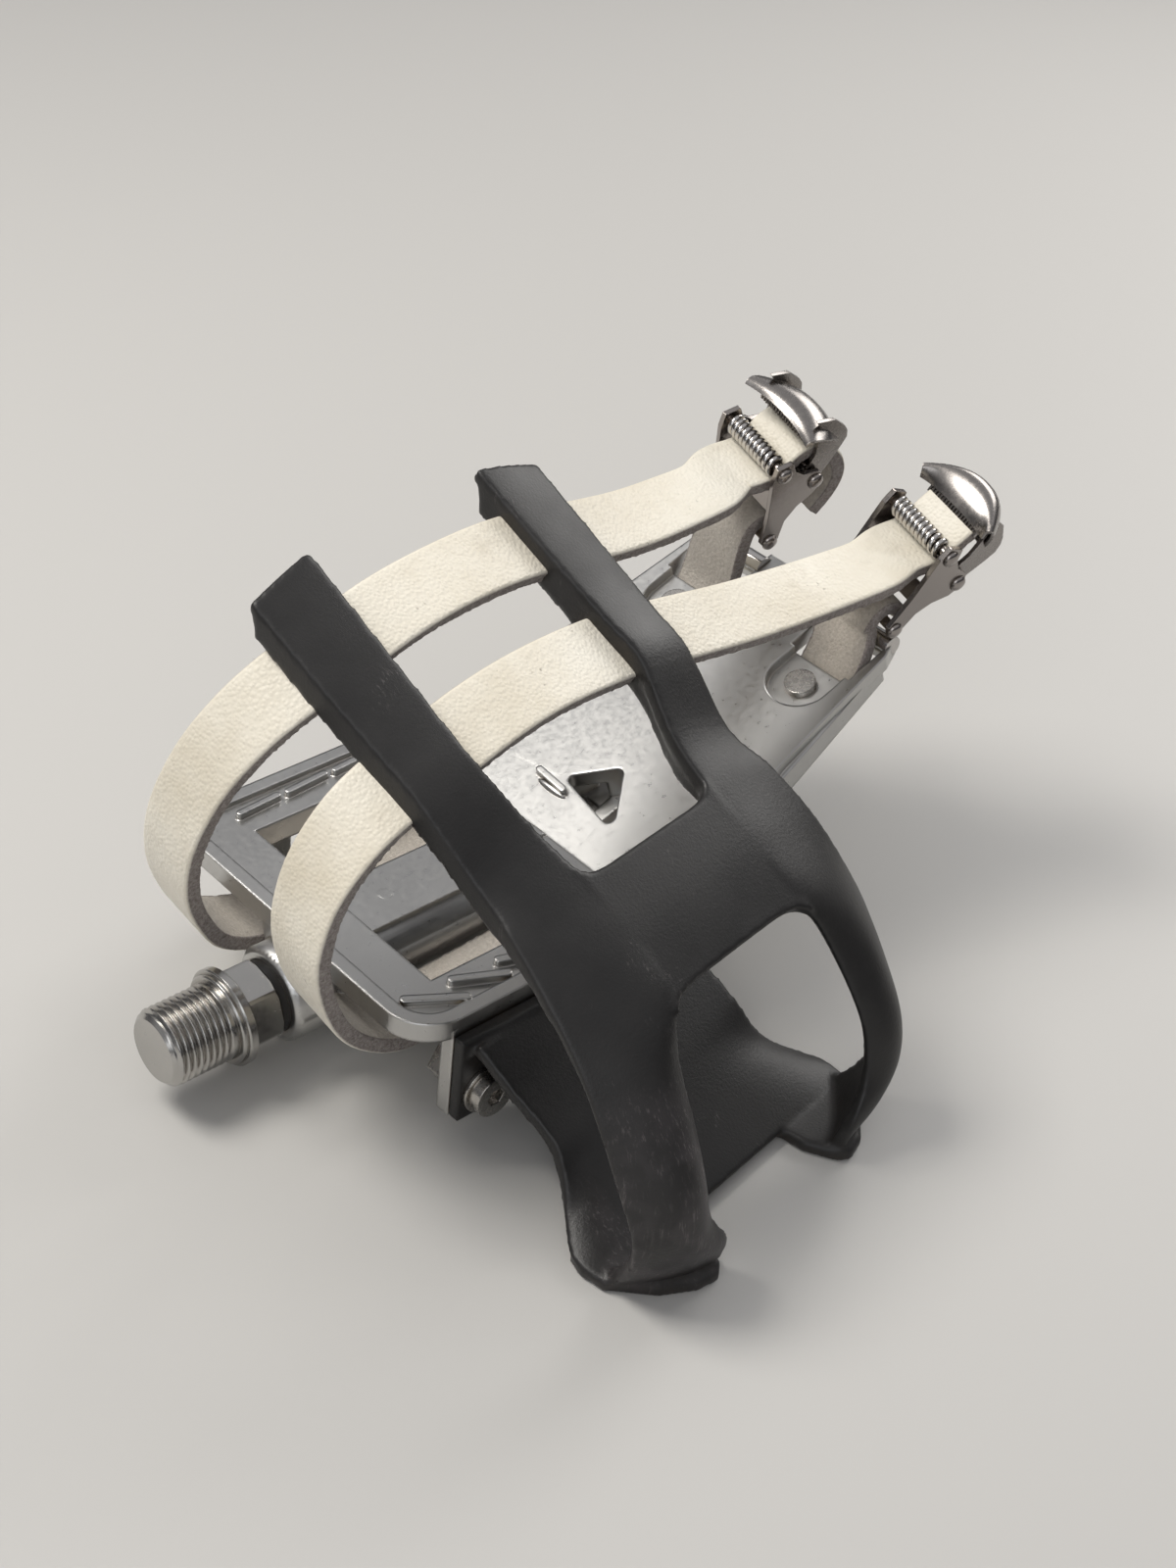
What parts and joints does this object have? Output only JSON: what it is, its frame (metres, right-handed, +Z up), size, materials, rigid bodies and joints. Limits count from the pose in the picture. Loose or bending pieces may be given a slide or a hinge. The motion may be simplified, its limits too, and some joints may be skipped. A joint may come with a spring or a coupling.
{
  "type": "bicycle pedal",
  "caption": "Left platform bicycle pedal with a moulded toe clip, two leather toe straps and two sprung cam buckles.",
  "frame": {"origin": "on the spindle axis, at the crank-side face of the spindle's shoulder", "axes": "+X along the spindle away from the crank, -Y toward the toe, +Z up from the foot platform"},
  "size_m": [0.1717, 0.125, 0.0947],
  "materials": {
    "cast": "polished",
    "steel": "satin",
    "chrome": "polished",
    "nylon": "matte",
    "seal": "matte",
    "leather": "fine grain"
  },
  "bodies": {
    "cage": {"body": "cast", "bearing_cup_in": "steel", "bearing_cup_out": "steel", "balls_in": "steel", "balls_out": "steel", "seal_in": "seal", "dust_cap": "seal", "slot_bar_front": "chrome", "slot_bar_rear": "chrome", "slot_screws": "steel", "slot_nuts": "steel", "toe_clip": "nylon", "clip_bolts": "steel", "clip_nuts": "steel", "clip_washers": "steel", "strap_front": "leather", "strap_rear": "leather", "frame_front": "chrome", "frame_rear": "chrome", "lever_pin_front": "chrome", "lever_pin_rear": "chrome", "roller_pin_front": "chrome", "roller_pin_rear": "chrome", "spring_front": "chrome", "spring_rear": "chrome", "strap_bar_front": "chrome", "strap_bar_rear": "chrome"},
    "spindle": {"spindle": "steel", "cone_out": "steel", "lock_washer": "steel", "locknut": "steel"},
    "lever_front": {"lever_front": "chrome"},
    "lever_rear": {"lever_rear": "chrome"}
  },
  "joints": [
    {"name": "spindle_spin", "type": "hinge", "parent": "cage", "child": "spindle", "pos_m": [0.02, 0, 0], "axis": [1, 0, 0], "continuous": true},
    {"name": "lever_front_hinge", "type": "hinge", "parent": "cage", "child": "lever_front", "pos_m": [0.14885, -0.01968, 0.05324], "axis": [0.1018, 0.969, 0.225], "range_deg": [0, 25], "stiffness_Nm_per_rad": 0.05, "springref_deg": -8.59},
    {"name": "lever_rear_hinge", "type": "hinge", "parent": "cage", "child": "lever_rear", "pos_m": [0.1369, 0.00851, 0.06535], "axis": [0.1018, 0.969, 0.225], "range_deg": [0, 25], "stiffness_Nm_per_rad": 0.05, "springref_deg": -8.59}
  ]
}
